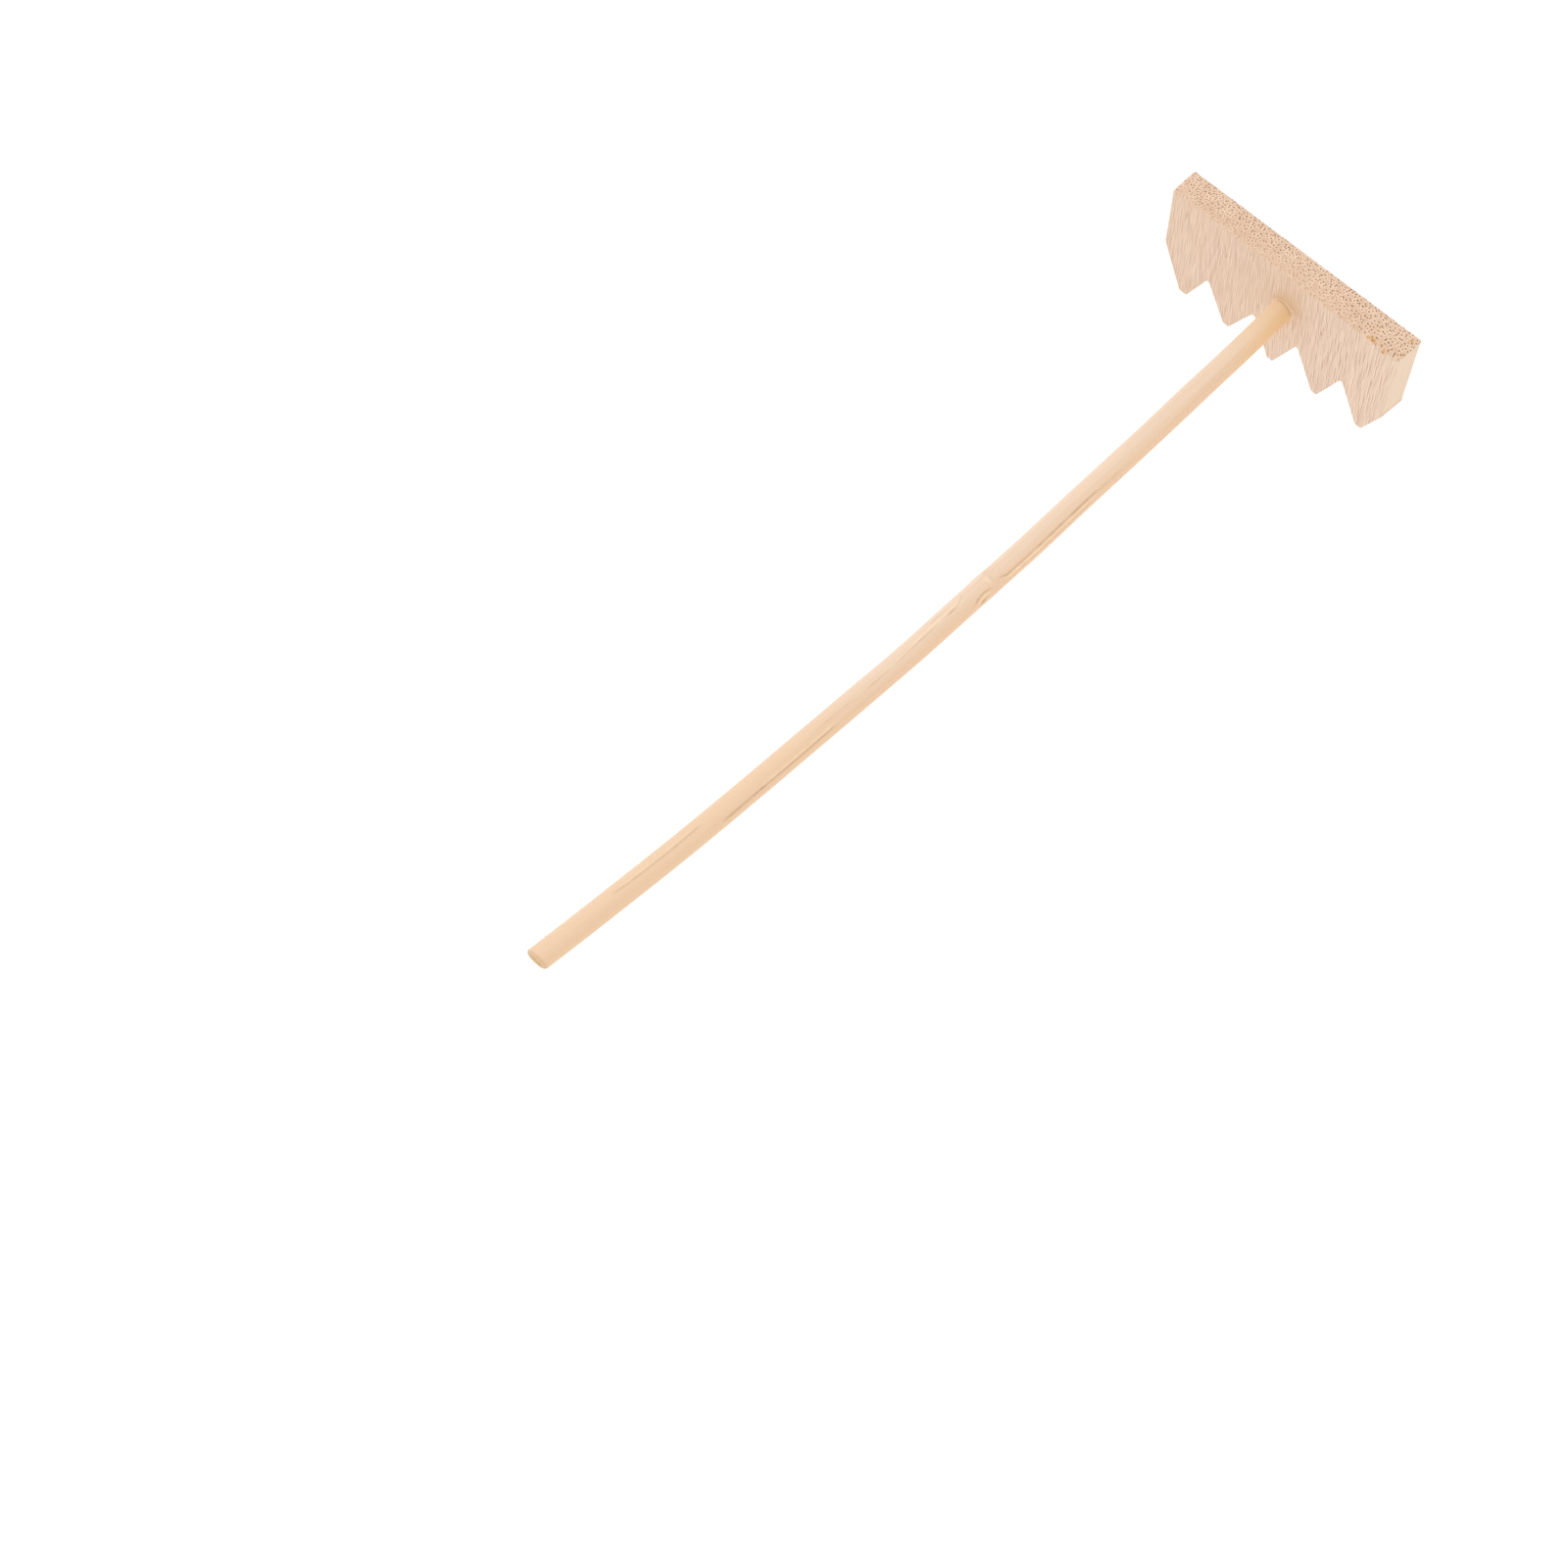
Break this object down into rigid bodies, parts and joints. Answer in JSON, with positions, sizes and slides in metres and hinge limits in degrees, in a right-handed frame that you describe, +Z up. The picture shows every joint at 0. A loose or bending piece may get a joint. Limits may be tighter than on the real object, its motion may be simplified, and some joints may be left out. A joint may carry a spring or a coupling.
{
  "type": "miniature bamboo rake",
  "caption": "Miniature bamboo rake: a flat sawn head with a row of triangular teeth, glued on the end of a thin, round, slightly bowed stick handle.",
  "frame": {"origin": "middle of the footprint on the table that the rake rests on, teeth down: tooth tips and the handle's free end touch Z = 0", "axes": "+Y from the handle's free end towards the head, +Z up, +X along the head to the right as seen from the handle"},
  "size_m": [0.0418, 0.1512, 0.022],
  "materials": {
    "bamboo_head": "bare sawn and sanded bamboo, fine fibre streaks down the faces, dotted end grain on the top edge, matte",
    "bamboo_stick": "bare planed round bamboo stick, long fine fibres, silky low sheen",
    "dried_glue": "clear to amber dried wood glue, slightly glossy"
  },
  "bodies": {
    "root": {"rake_head": "bamboo_head", "handle_stick": "bamboo_stick", "glue_joint": "dried_glue"}
  },
  "joints": []
}
